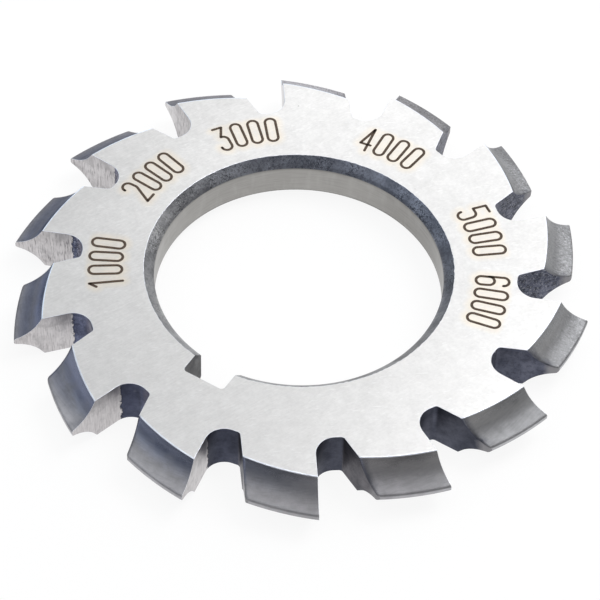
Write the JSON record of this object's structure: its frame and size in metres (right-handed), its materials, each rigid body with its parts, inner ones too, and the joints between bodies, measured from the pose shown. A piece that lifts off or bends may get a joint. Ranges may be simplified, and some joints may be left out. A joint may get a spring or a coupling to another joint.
{
  "type": "gear milling cutter",
  "caption": "Form-relieved disc cutter that mills the tooth spaces of spur gears: a toothed steel ring with radial rake faces, round gullets, a chamfered bore and a keyway.",
  "frame": {"origin": "on the bore's axis, at half the cutter's thickness", "axes": "+Z along the bore, out of the marked face; -Y through the middle of the keyway; seen from +Z the rake faces look counter-clockwise"},
  "size_m": [0.0446, 0.044, 0.004],
  "materials": {
    "tool_steel": "surface-ground flat faces, satin relieved flanks, dark gullets"
  },
  "bodies": {
    "root": {"gear_cutter": "tool_steel"}
  },
  "joints": []
}
